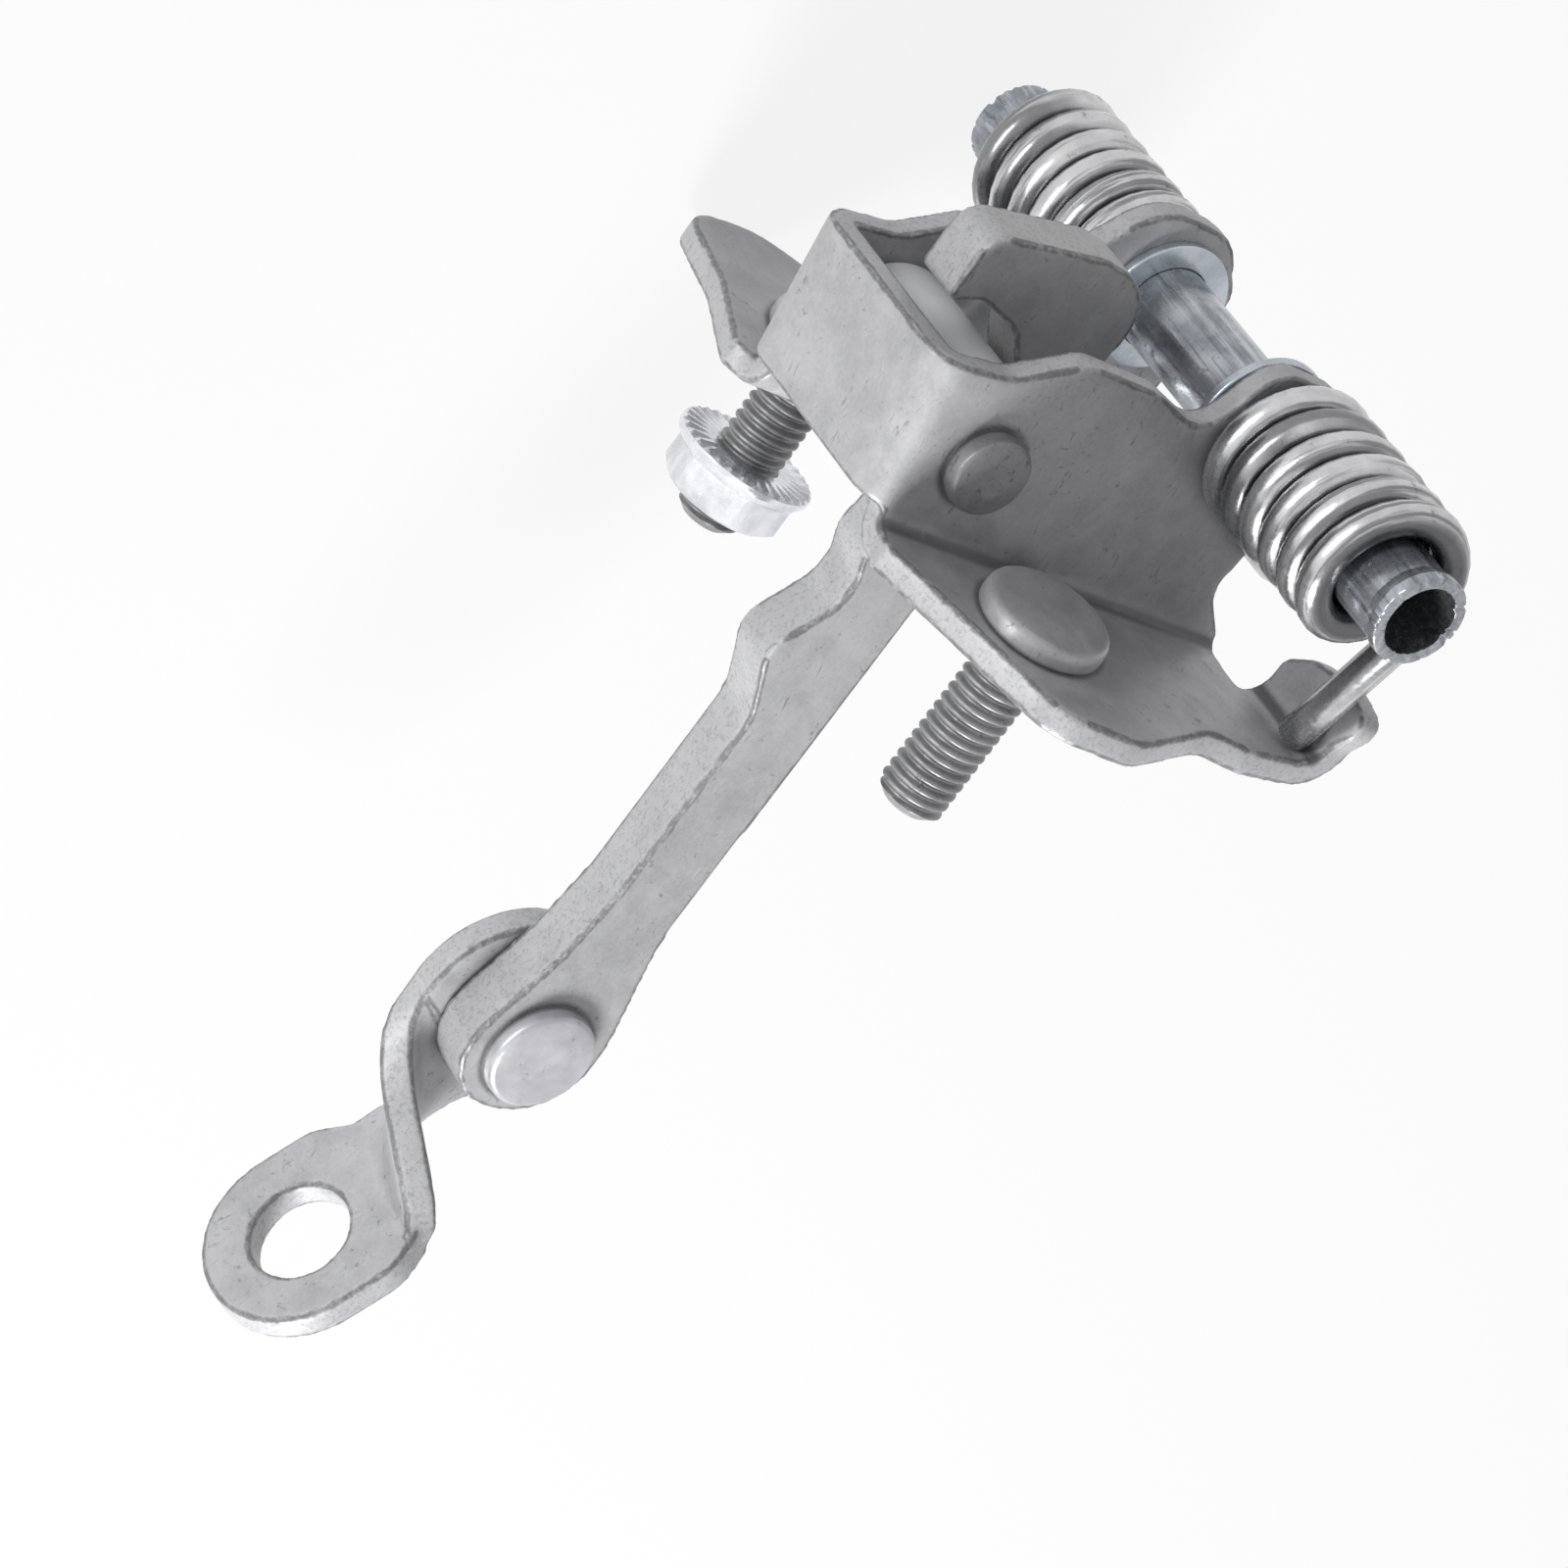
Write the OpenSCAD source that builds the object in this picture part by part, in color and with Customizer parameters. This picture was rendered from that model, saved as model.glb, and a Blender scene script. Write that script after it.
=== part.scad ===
// Door limiter strap: a pressed channel bracket whose roller and twin-coil spring grip a sliding arm.
// Origin midway between the two studs on the face that seats on the door. X runs along the arm, Z along the roller pin.

/* [View] */
// Which sub-part to draw

/* [Housing] */
// Thickness of the housing sheet, mm
sheet = 2.5; // [1.5:0.1:3.5]
// Free width between the two side plates, mm
channel_w = 17.4; // [14:0.1:24]
// Lean of the web away from the arm, degrees
web_lean = 9.5; // [0:0.5:14]
// Distance from the studs to the outside of the web at its top edge, mm
web_drop = 18.05; // [16:0.05:24]
// How far the web reaches behind the seating face, mm
web_back = 17; // [14:0.1:22]
// Gap between the seating face and the web's lower edge, mm
web_front = 3.7; // [2:0.1:8]
// Outer radius of the two web bends, mm
web_bend_r = 3.2; // [2.8:0.1:4.5]
// Inner radius of the flange bends, mm
bend_in = 1.2; // [0.6:0.1:2]
// Inner radius of the tab bends, mm
tab_bend_in = 2.2; // [1:0.1:3]
// Reach of the near flange from the middle, mm
flange_reach = 33; // [31:0.1:40]
// Reach of the longer far flange from the middle, mm
flange_reach_far = 37.6; // [31:0.1:42]
// Flange edge on the web side, mm from the studs
flange_front = 13.4; // [11:0.1:18]
// Face of the upturned tabs that the spring legs push on, mm from the studs
tab_y = 28; // [25:0.1:34]
// Height of the upturned tabs behind the seating face, mm
tab_h = 9; // [7:0.1:14]
// Start of each tab from the middle, mm
tab_in = 16.7; // [15:0.1:19]
// End of each tab from the middle, mm
tab_out = 28.6; // [27:0.1:33]
// Radius of the near ear round the spring tube, mm
ear_r = 6.6; // [6:0.1:9]
// Radius of the far ear, which stands out further over the tube, mm
ear_r_far = 8.05; // [7:0.05:9]

/* [Studs] */
// Spacing of the two mounting studs, mm
stud_pitch = 38.5; // [36:0.1:44]
// Thread radius of the studs, mm
stud_r = 3; // [2.5:0.1:4]
// Stud length beyond the seating face, mm
stud_len = 16; // [12:0.5:24]
// Length of the oval stud heads, mm
head_long = 17; // [14:0.1:19]
// Width of the oval stud heads, mm
head_wide = 11.2; // [9:0.1:13]
// Thickness of the oval stud heads, mm
head_thick = 1.9; // [1.2:0.1:3]
// Turn of the oval heads away from the arm's sliding plane, degrees
head_turn = 38.5; // [0:0.5:90]
// Width across flats of the flange nut, mm
nut_af = 10; // [9:0.1:12]
// Height of the flange nut, mm
nut_h = 5; // [4.5:0.1:8]
// Radius of the nut's serrated flange, mm
nut_flange_r = 6.5; // [6:0.1:8]
// Distance from the seating face to the nut as it was left, mm
nut_x = 9; // [4:0.1:9.5]
// Turn of the nut as it was left, degrees
nut_turn = 21; // [0:1:60]

/* [Roller] */
// Radius of the roller, mm
roller_r = 6.25; // [4.5:0.05:7]
// Gap between the roller and the inside of the web, mm
roller_web_gap = 0.32; // [0.2:0.01:1.5]
// How far the roller sits behind the seating face, mm
roller_back = 10.2; // [9:0.1:11.5]
// Side play of the roller between the plates, mm
roller_play = 0.2; // [0.1:0.05:0.6]
// Radius of the roller pin, mm
pin_r = 2.5; // [1.8:0.1:3]
// Radius of the pin's upset heads, mm
pin_head_r = 3.6; // [3.4:0.1:5]
// Height of the pin's upset heads, mm
pin_head_h = 2; // [1:0.1:3]

/* [Spring] */
// How far the spring tube sits behind the seating face, mm
tube_back = 21.27; // [20:0.01:24]
// Height of the spring tube above the studs, mm
tube_up = 17.27; // [16.5:0.01:19]
// Outer radius of the spring tube, mm
tube_r = 3.95; // [3.6:0.01:4.1]
// Outer radius of the tube's flared ends, mm
tube_end_r = 4.2; // [4.15:0.01:4.35]
// Length of each flared end, mm
tube_flare = 2; // [1.5:0.1:3]
// Bore radius of the spring tube, mm
tube_bore_r = 3.18; // [2:0.01:3.2]
// Overall length of the spring tube, mm
tube_len = 70.2; // [66:0.1:80]
// Radius of the spacer washers, mm
washer_r = 6.1; // [5.5:0.1:6.6]
// Thickness of the spacer washers, mm
washer_t = 0.9; // [0.5:0.1:1.5]
// Thickness of the spring wire, mm
wire_d = 2.6; // [2:0.1:2.7]
// Mean radius of the two coils, mm
coil_r = 5.85; // [5.8:0.05:7]
// Gap between neighbouring turns, mm
turn_gap = 0.45; // [0.45:0.05:0.8]
// Whole turns of each coil before the last part turn
coil_turns = 5; // [3:1:6]

/* [Arm] */
// Thickness of the arm, mm
arm_t = 5.2; // [4:0.1:8]
// Edge of the arm on the spring side, mm above the studs
arm_top = 4.6; // [3.5:0.1:5]
// Edge of the arm on the roller side, mm below the studs
arm_low = 2.8; // [2:0.1:2.9]
// Distance from the seating face to the hinge rivet, mm
eye_x = 57.5; // [54:0.5:70]
// Height of the rivet above the studs, mm
eye_y = 0.5; // [-1:0.1:2]
// Radius of the arm's eye, mm
eye_r = 7.3; // [6.5:0.1:8.5]
// Reach of the stop head behind the seating face, mm
stop_back = 26.5; // [25:0.1:30]
// Depth of the stop head below the studs, mm
stop_low = 13.3; // [12:0.1:16]
// Clear gap between the arm and the roller, mm
arm_roller_gap = 0.35; // [0.3:0.05:1]

/* [Hinge] */
// Thickness of the hinge bracket, mm
hinge_t = 3; // [2:0.1:4]
// Radius of the bracket round the rivet, mm
hinge_r = 9.2; // [8:0.1:12]
// Angle between the arm and the bracket's tongue, degrees
hinge_turn = 31; // [0:1:45]
// Half width of the bolt tongue, mm
tongue_w = 9; // [8:0.1:12]
// Distance from the rivet to the bolt hole along the tongue, mm
tongue_reach = 25; // [23:0.1:34]
// Offset of the tongue's face from the rivet axis, mm
tongue_off = 6.5; // [4:0.1:8]
// Distance from the rivet to where the twist begins, mm
neck_reach = 5.5; // [4:0.1:7]
// Distance from the end of the twist to the bolt hole, mm
shoulder_back = 8.4; // [7:0.1:10]
// Radius of the bolt hole, mm
bolt_r = 4.5; // [3.3:0.1:5.5]
// Radius of the rivet's shank, mm
rivet_r = 3.5; // [2.5:0.1:4.5]
// Radius of the rivet's heads, mm
rivet_head_r = 4.95; // [4.6:0.05:6.5]
// Height of the rivet's heads, mm
rivet_head_h = 1.8; // [1:0.1:2.5]

/* [Hidden] */
// Clearance of a part that turns on its pin
run_gap = 0.08;
// Clearance of a part that is held fast
seat_gap = 0.04;
// Axial clearance beside parts that turn
face_gap = 0.1;
// The stud's collar in the flange is this much larger than its thread
collar_step = 0.3;
// Length of the relief between the collar and the thread
stud_relief = 0.8;
// Steps on a rounded corner
arc_steps = 6;
// Extra reach of a cutter past a face
past = 1;
$fn = 64;

half_in = channel_w / 2;
half_out = half_in + sheet;
bend_out = bend_in + sheet;
tab_bend_out = tab_bend_in + sheet;
// bend axis of the flanges, behind the seating face and out from the middle
bend_x = -bend_out;
bend_z = half_out + bend_in;
// outer end of the tab where it leaves the flange
tab_root = tab_out - 1.9;
stud_z = stud_pitch / 2;
roller_len = channel_w - 2 * roller_play;
roller_x = -roller_back;
roller_y = -web_drop + (web_back - roller_back) * tan(web_lean)
    + (sheet + roller_web_gap + roller_r) / cos(web_lean);
tube_x = -tube_back;
tube_y = tube_up;
pitch = wire_d + turn_gap;
// side play of the wire where it passes the side plate
wire_gap = 0.2;
hook_z = half_out + wire_gap + wire_d / 2;
rivet_top = arm_t / 2;
plate_top = -arm_t / 2 - face_gap;
plate_mid = plate_top - hinge_t / 2;
plate_low = plate_top - hinge_t;
rear_edge = tube_up + ear_r;

function unit(v) = v / norm(v);

// arc of radius r that rounds the corner b between a and c
function fillet(a, b, c, r) =
    let (u = unit(a - b), w = unit(c - b), half = acos(u * w) / 2, d = r / tan(half))
    let (o = b + unit(u + w) * r / sin(half), s = b + u * d - o, e = b + w * d - o)
    let (sweep = 180 - 2 * half)
    [for (i = [0:arc_steps])
        let (t = i / arc_steps)
        o + (sin((1 - t) * sweep) * s + sin(t * sweep) * e) / sin(sweep)];

// outline whose corners are [x, y, radius]
function rounded(p) =
    let (n = len(p))
    [for (i = [0:n - 1])
        let (a = p[(i + n - 1) % n], b = p[i], c = p[(i + 1) % n])
        each (b[2] > 0 ? fillet([a.x, a.y], [b.x, b.y], [c.x, c.y], b[2]) : [[b.x, b.y]])];

// route whose corners are [point, radius], open at both ends
function route(p) =
    let (n = len(p))
    [for (i = [0:n - 1])
        each (i > 0 && i < n - 1 && p[i][1] > 0
            ? fillet(p[i - 1][0], p[i][0], p[i + 1][0], p[i][1])
            : [p[i][0]])];

// a plate cut to a rounded outline in the arm's plane
module side_slab(outline, low, high) {
    translate([0, 0, low])
        linear_extrude(high - low)
            polygon(rounded(outline));
}

module z_rod(x, y, r, low, high) {
    translate([x, y, low])
        cylinder(r = r, h = high - low);
}

module x_rod(y, z, r, low, high) {
    translate([low, y, z])
        rotate([0, 90, 0])
            cylinder(r = r, h = high - low);
}

// turned part along Z with broken edges
module z_turned(x, y, r, bore, low, high, edge) {
    translate([x, y, 0])
        rotate_extrude()
            polygon([[bore, low], [r - edge, low], [r, low + edge],
                [r, high - edge], [r - edge, high], [bore, high]]);
}

// Housing

// the two side plates seen along Z, from the web round the top edge to the rear
side_outline = [
    [-web_back, -web_drop - 2 * past, 0],
    [-web_back - 1, -web_drop + 7.5, 3],
    [-web_back - 4.5, -4.6, 5],
    [-web_back - 4.4, 3.5, 6],
    [-tube_back + 1.7, tube_up - ear_r - 0.5, 3],
    [-tube_back - ear_r + 0.6, tube_up - ear_r + 2.6, 3.5],
    [-tube_back - ear_r + 0.9, rear_edge + 1.2, 5],
    [-7.2, rear_edge - 1.3, 3],
    [bend_x, rear_edge + 2.4, 0],
    [bend_x, -flange_front, 0],
    [-web_front, -flange_front - 1.5, 0],
    [-web_front, -web_drop - 2 * past, 0]
];

// the far ear stands out further; its inner corners lie inside the plate
far_ear = [
    [-web_back, tube_up - ear_r_far - 5.7, 0],
    [-tube_back - ear_r_far + 0.2, tube_up - ear_r_far + 2.4, 6],
    [-tube_back - ear_r_far + 0.7, rear_edge + 1, 5],
    [-roller_back - 2, tube_up + 2, 0]
];

// channel section: web with two side plates, seen along the arm
channel_outline = [
    [0, -half_out, web_bend_r],
    [0, half_out, web_bend_r],
    [4 * web_drop, half_out, 0],
    [4 * web_drop, half_in, 0],
    [sheet, half_in, web_bend_r - sheet],
    [sheet, -half_in, web_bend_r - sheet],
    [4 * web_drop, -half_in, 0],
    [4 * web_drop, -half_out, 0]
];

module channel() {
    intersection() {
        side_slab(side_outline, -half_out, half_out);
        translate([-web_back, -web_drop, 0])
            rotate([0, 0, web_lean])
                translate([-2 * web_back, 0, 0])
                    rotate([90, 0, 90])
                        linear_extrude(4 * web_back)
                            polygon(rounded(channel_outline));
    }
}

// quarter bend of inner radius r, drawn in a plane and swept along the bend
module quarter_bend(r, length) {
    linear_extrude(length)
        polygon(concat(
            [for (i = [0:arc_steps]) (r + sheet) * [cos(90 * i / arc_steps), sin(90 * i / arc_steps)]],
            [for (i = [arc_steps:-1:0]) r * [cos(90 * i / arc_steps), sin(90 * i / arc_steps)]]));
}

// flange seen along X, corners as [z, y, radius]
function flange_outline(reach) = [
    [bend_z, -flange_front, 0],
    [bend_z + 1.5, -flange_front - 0.6, 1.5],
    [stud_z + 6, -flange_front + 4.6, 12],
    [reach - 0.5, -6, 5],
    [reach + 0.3, 3, 6],
    [tab_root, 15.6, 4],
    [tab_root + 1, 20, 4],
    [tab_root, tab_y - tab_bend_in, 0],
    [tab_in, tab_y - tab_bend_in, 0],
    [bend_z, rear_edge + 2.4, 0]
];

// tab seen along Y, corners as [z, height]
tab_outline = [
    [tab_in, tab_bend_out, 0],
    [tab_in, tab_h - 2.6, 1.2],
    [tab_in + 2.6, tab_h - 0.7, 2.2],
    [tab_out - 5, tab_h + 0.3, 3],
    [tab_out + 0.2, tab_h - 0.5, 1.6],
    [tab_root, tab_bend_out, 0]
];

module side_wing(reach) {
    // flange
    rotate([0, -90, 0])
        linear_extrude(sheet)
            polygon(rounded(flange_outline(reach)));
    // bend from side plate to flange
    translate([bend_x, -flange_front, bend_z])
        rotate([-90, 0, 0])
            quarter_bend(bend_in, rear_edge + 2.4 + flange_front);
    // bend from flange to tab
    translate([-tab_bend_out, tab_y - tab_bend_in, tab_in])
        quarter_bend(tab_bend_in, tab_root - tab_in);
    // tab
    translate([0, tab_y + sheet, 0])
        rotate([90, -90, 0])
            linear_extrude(sheet)
                polygon(rounded(tab_outline));
}

module housing_bracket() {
    color([0.62, 0.62, 0.64])
        difference() {
            union() {
                channel();
                side_slab(far_ear, -half_out, -half_in);
                side_wing(flange_reach);
                mirror([0, 0, 1])
                    side_wing(flange_reach_far);
            }
            z_rod(roller_x, roller_y, pin_r + seat_gap, -half_out - past, half_out + past);
            z_rod(tube_x, tube_y, tube_r + seat_gap, -half_out - past, half_out + past);
            for (side = [-1, 1])
                x_rod(0, side * stud_z, stud_r + collar_step + seat_gap, -sheet - past, past);
        }
}

// Roller

module roller() {
    color([0.92, 0.92, 0.9])
        z_turned(roller_x, roller_y, roller_r, pin_r + run_gap, -roller_len / 2, roller_len / 2, 0.5);
}

module roller_pin() {
    color([0.5, 0.5, 0.52])
        union() {
            z_rod(roller_x, roller_y, pin_r, -half_out - past, half_out + past);
            for (side = [0, 1])
                mirror([0, 0, side])
                    z_turned(roller_x, roller_y, pin_head_r, 0, half_out, half_out + pin_head_h, 0.35);
        }
}

// Spring and its tube

tube_half = tube_len / 2;
tube_section = [
    [tube_bore_r, -tube_half],
    [tube_end_r - 0.3, -tube_half],
    [tube_end_r, -tube_half + 0.3],
    [tube_end_r, -tube_half + tube_flare / 2],
    [tube_r, -tube_half + tube_flare],
    [tube_r, tube_half - tube_flare],
    [tube_end_r, tube_half - tube_flare / 2],
    [tube_end_r, tube_half - 0.3],
    [tube_end_r - 0.3, tube_half],
    [tube_bore_r, tube_half]
];

module spring_tube() {
    color([0.66, 0.68, 0.72])
        translate([tube_x, tube_y, 0])
            rotate_extrude()
                polygon(tube_section);
}

module spacer_washers() {
    color([0.7, 0.74, 0.78])
        for (side = [0, 1])
            mirror([0, 0, side])
                z_turned(tube_x, tube_y, washer_r, tube_r + seat_gap, half_in - washer_t, half_in, 0.1);
}

// the coil leaves for the side plate at this angle and ends where it points at the studs
coil_start = -22;
coil_sweep = coil_start + 270 + 360 * coil_turns;
rings_per_turn = 8;
coil_steps = round(coil_sweep * rings_per_turn / 360);
wire_r = wire_d / 2;
// the wire goes round the rear edge of the side plate here
hook_y = rear_edge + 0.5 + wire_r;
hook_run = (hook_y - tube_y - coil_r * sin(coil_start)) / cos(coil_start);
hook_x = tube_x + coil_r * cos(coil_start) - hook_run * sin(coil_start);
bail_y = arm_top + 0.35 + wire_r;
bail_x = hook_x - 1;
bail_z = half_in - 2 - wire_r;
leg_y = tab_y - 0.15 - wire_r;
leg_x = -sheet - 1;
leg_z = tab_out - 4.4;

function coil_point(i) =
    let (a = coil_start - coil_sweep * i / coil_steps)
    [tube_x + coil_r * cos(a), tube_y + coil_r * sin(a), hook_z + pitch * coil_sweep / 360 * i / coil_steps];

coil_end = coil_point(coil_steps);
leg_way = unit([leg_x, leg_y, leg_z] - coil_end - [1, 0, 0]);

// half of the wire, from the middle of the bail to the tip of the outer leg
half_wire = concat(
    route([
        [[bail_x, bail_y, 0], 0],
        [[bail_x, bail_y, bail_z], 2.2],
        [[hook_x, hook_y, bail_z], 2.2],
        [[hook_x, hook_y, hook_z], 2.2],
        [coil_point(0), 0]
    ]),
    [for (i = [1:coil_steps]) coil_point(i)],
    [
        coil_end + [2, 0.1, 0],
        [leg_x, leg_y, leg_z] - wire_d * leg_way,
        [leg_x, leg_y, leg_z]
    ]);

// the other half is its mirror image
wire_path = concat(
    [for (i = [len(half_wire) - 1:-1:1]) [half_wire[i].x, half_wire[i].y, -half_wire[i].z]],
    [for (i = [1:len(half_wire) - 1]) half_wire[i]]);

wire_sides = 6;

function way(p, i) =
    unit(p[min(i + 1, len(p) - 1)] - p[max(i - 1, 0)]);

// a side vector carried along the route without twist
function side_vectors(p) =
    [for (i = 0, s = unit(cross(way(p, 0), [0.3, 0.5, 1])); i < len(p);
        i = i + 1, s = i < len(p) ? unit(s - (s * way(p, i)) * way(p, i)) : s) s];

// widening that keeps the tube round where the route bends
function mitre(p, i) =
    i == 0 || i == len(p) - 1 ? 1 : 1 / max(0.8, way(p, i) * unit(p[i + 1] - p[i]));

function tube_points(p, r) =
    let (s = side_vectors(p))
    [for (i = [0:len(p) - 1])
        let (t = cross(way(p, i), s[i]))
        for (k = [0:wire_sides - 1])
            p[i] + r * (cos(360 * k / wire_sides) * s[i] + sin(360 * k / wire_sides) * t)];

function tube_faces(n) = concat(
    [for (i = [0:n - 2]) for (k = [0:wire_sides - 1])
        let (a = i * wire_sides + k, b = i * wire_sides + (k + 1) % wire_sides)
        each [[a, b, b + wire_sides], [a, b + wire_sides, a + wire_sides]]],
    [for (k = [1:wire_sides - 2]) [0, k + 1, k]],
    [for (k = [1:wire_sides - 2])
        let (o = (n - 1) * wire_sides)
        [o, o + k, o + k + 1]]);

// length of wire up to each point of the route
function wire_run(p) =
    [for (i = 0, run = 0; i < len(p);
        run = i + 1 < len(p) ? run + norm(p[i + 1] - p[i]) : run, i = i + 1) run];

// least gap of the wire to itself, between points with five diameters of wire or more between them
function least_gap(p) =
    let (run = wire_run(p))
    min([for (i = [0:len(p) - 2]) for (j = [i + 1:len(p) - 1])
        if (run[j] - run[i] > 5 * wire_d) norm(p[i] - p[j])]) - wire_d;

module torsion_spring() {
    color([0.75, 0.75, 0.77])
        polyhedron(tube_points(wire_path, wire_r), tube_faces(len(wire_path)), 4);
}

echo(least_gap_of_the_spring = least_gap(wire_path));

// Studs and nut

function oval(a, b) = [for (i = [0:47]) [a * cos(7.5 * i), b * sin(7.5 * i)]];

module stud(side) {
    edge = 0.4;
    union() {
        x_rod(0, side * stud_z, stud_r + collar_step, -sheet - head_thick / 2, 0);
        x_rod(0, side * stud_z, stud_r - 0.5, -sheet, 2 * stud_relief);
        x_rod(0, side * stud_z, stud_r, stud_relief, stud_len - 0.8);
        translate([stud_len - 0.8, 0, side * stud_z])
            rotate([0, 90, 0])
                cylinder(r1 = stud_r, r2 = stud_r - 0.7, h = 0.8);
        translate([-sheet, 0, side * stud_z])
            rotate([-head_turn, 0, 0])
                rotate([0, -90, 0])
                    rotate([0, 0, 90])
                        union() {
                            linear_extrude(2 * edge)
                                polygon(oval(head_long / 2 - edge, head_wide / 2 - edge));
                            translate([0, 0, edge])
                                linear_extrude(head_thick - edge)
                                    polygon(oval(head_long / 2, head_wide / 2));
                        }
    }
}

module mounting_stud_a() {
    color([0.45, 0.45, 0.47])
        stud(1);
}

module mounting_stud_b() {
    color([0.45, 0.45, 0.47])
        stud(-1);
}

module flange_nut() {
    color([0.85, 0.86, 0.88])
        difference() {
            union() {
                x_rod(0, -stud_z, nut_flange_r, nut_x, nut_x + 1.1);
                translate([nut_x + 1.1, 0, -stud_z])
                    rotate([0, 90, 0])
                        cylinder(r1 = nut_flange_r, r2 = nut_af / 2 + 0.2, h = 0.9);
                translate([nut_x + 1, 0, -stud_z])
                    rotate([0, 90, 0])
                        rotate([0, 0, nut_turn])
                            cylinder(r = nut_af / 2 / cos(30), h = nut_h - 1, $fn = 6);
            }
            x_rod(0, -stud_z, stud_r + seat_gap, nut_x - past, nut_x + nut_h + past);
        }
}

// Arm

// roller-side edge, stop head and eye, going round from the head's tip
arm_outline = [
    [-stop_back + 1.3, -stop_low - 0.2, 2.6],
    [-stop_back - 0.4, -1.5, 8],
    [-stop_back + 0.4, arm_top + 1, 5],
    [-17, arm_top + 0.4, 6],
    [44, arm_top, 20],
    [eye_x - 3, eye_y + eye_r - 0.8, 9],
    [eye_x + eye_r - 0.9, eye_y + eye_r - 0.2, 6.5],
    [eye_x + eye_r - 0.5, eye_y - eye_r - 1.6, 6],
    [eye_x - eye_r - 1.7, -arm_low - 1, 8],
    [eye_x - 2 * eye_r - 1.4, -arm_low, 10],
    [21.5, -arm_low, 6],
    [15.2, -arm_low - 3.3, 3.2],
    [9.6, -arm_low + 0.25, 3],
    [6.8, -arm_low + 0.25, 1.5],
    [4.2, -arm_low - 0.9, 2.2],
    [roller_x + 1.6, roller_y + roller_r + arm_roller_gap, 4],
    [roller_x - 3.2, roller_y + roller_r + arm_roller_gap, 4.5],
    [roller_x - 8.2, roller_y + 2.6, 4],
    [roller_x - 9.6, roller_y - 2.5, 2.4],
    [roller_x - 8.3, -stop_low, 0.6]
];

module strap_arm() {
    color([0.6, 0.6, 0.62])
        difference() {
            side_slab(arm_outline, -arm_t / 2, arm_t / 2);
            z_rod(eye_x, eye_y, rivet_r + seat_gap, -arm_t, arm_t);
        }
}

// Hinge

module pivot_rivet() {
    color([0.8, 0.8, 0.82])
        union() {
            z_rod(eye_x, eye_y, rivet_r, plate_low - face_gap - rivet_head_h / 2, rivet_top + rivet_head_h / 2);
            z_turned(eye_x, eye_y, rivet_head_r, 0, rivet_top, rivet_top + rivet_head_h, 0.5);
            z_turned(eye_x, eye_y, rivet_head_r, 0,
                plate_low - face_gap - rivet_head_h, plate_low - face_gap, 0.4);
        }
}

// the bracket is drawn with its tongue along X and the rivet at the origin
twist_start = neck_reach;
twist_end = tongue_reach - shoulder_back;
// the twist is this much thinner and narrower than the flats, laps them and has tenons inside them
neck_step = 0.06;
neck_lap = 0.6;
tenon = 1.5;
twist_rows = 12;
twist_cols = 8;
neck_w = sqrt(hinge_r * hinge_r - twist_start * twist_start);
neck_half = hinge_t / 2 - neck_step;
tongue_mid = tongue_off + hinge_t / 2;
// the neck leaves the round plate along its rim, draws in, and meets the tongue's rounded shoulders
neck_dip = neck_reach / neck_w * (twist_end - twist_start);
shoulder_ease = 1.8;
shoulder_w = tongue_w - shoulder_ease;
twist_run = twist_end - twist_start + 2 * neck_lap;
lap_t = neck_lap / twist_run;

// middle surface of the quarter twist; t runs along it, u across it from -1 to 1
function twist(t, u) =
    let (s = pow(t, 1.5), e = s * s * (3 - 2 * s), a = 90 * e, w = neck_w - neck_step + (shoulder_w - neck_w) * e - neck_dip * (t - lap_t) * (1 - t) * (1 - t))
    [
        twist_start - neck_lap + twist_run * t,
        tongue_mid * e + u * w * cos(a),
        plate_mid * (1 - e) - u * w * sin(a)
    ];

function twist_normal(t, u) =
    t <= 0 ? [0, 0, 1] :
    t >= 1 ? [0, 1, 0] :
    unit(cross(twist(t + 0.01, u) - twist(t - 0.01, u), twist(t, u + 0.01) - twist(t, u - 0.01)));

// one face of the twist, with a row at either end inside the flat it joins
function twist_sheet(side) =
    [for (i = [-1:twist_rows + 1]) for (k = [0:twist_cols])
        let (t = min(max(i / twist_rows, 0), 1), u = -1 + 2 * k / twist_cols)
        twist(t, u) + side * neck_half * twist_normal(t, u)
            + [i < 0 ? -tenon : i > twist_rows ? tenon : 0, 0, 0]];

// triangles of one face of the twist, turned over when flip is 1
function sheet_faces(start, flip) =
    let (w = twist_cols + 1)
    [for (i = [0:twist_rows + 1]) for (k = [0:twist_cols - 1])
        let (a = start + i * w + k, b = a + 1, c = a + w + 1, d = a + w)
        each (flip == 1 ? [[a, b, c], [a, c, d]] : [[a, c, b], [a, d, c]])];

// strip of triangles between two matching rows of points
function strip(p, q) =
    [for (i = [0:len(p) - 2]) each [[p[i], p[i + 1], q[i + 1]], [p[i], q[i + 1], q[i]]]];

module twisted_neck() {
    w = twist_cols + 1;
    last = twist_rows + 2;
    m = (last + 1) * w;
    side_a = [for (i = [0:last]) i * w];
    side_b = [for (i = [0:last]) i * w + twist_cols];
    end_a = [for (k = [0:twist_cols]) k];
    end_b = [for (k = [0:twist_cols]) last * w + k];
    polyhedron(
        concat(twist_sheet(1), twist_sheet(-1)),
        concat(
            sheet_faces(0, 1),
            sheet_faces(m, 0),
            strip(side_a, side_a + [for (i = side_a) m]),
            strip(side_b + [for (i = side_b) m], side_b),
            strip(end_a + [for (i = end_a) m], end_a),
            strip(end_b, end_b + [for (i = end_b) m])),
        4);
}

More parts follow.
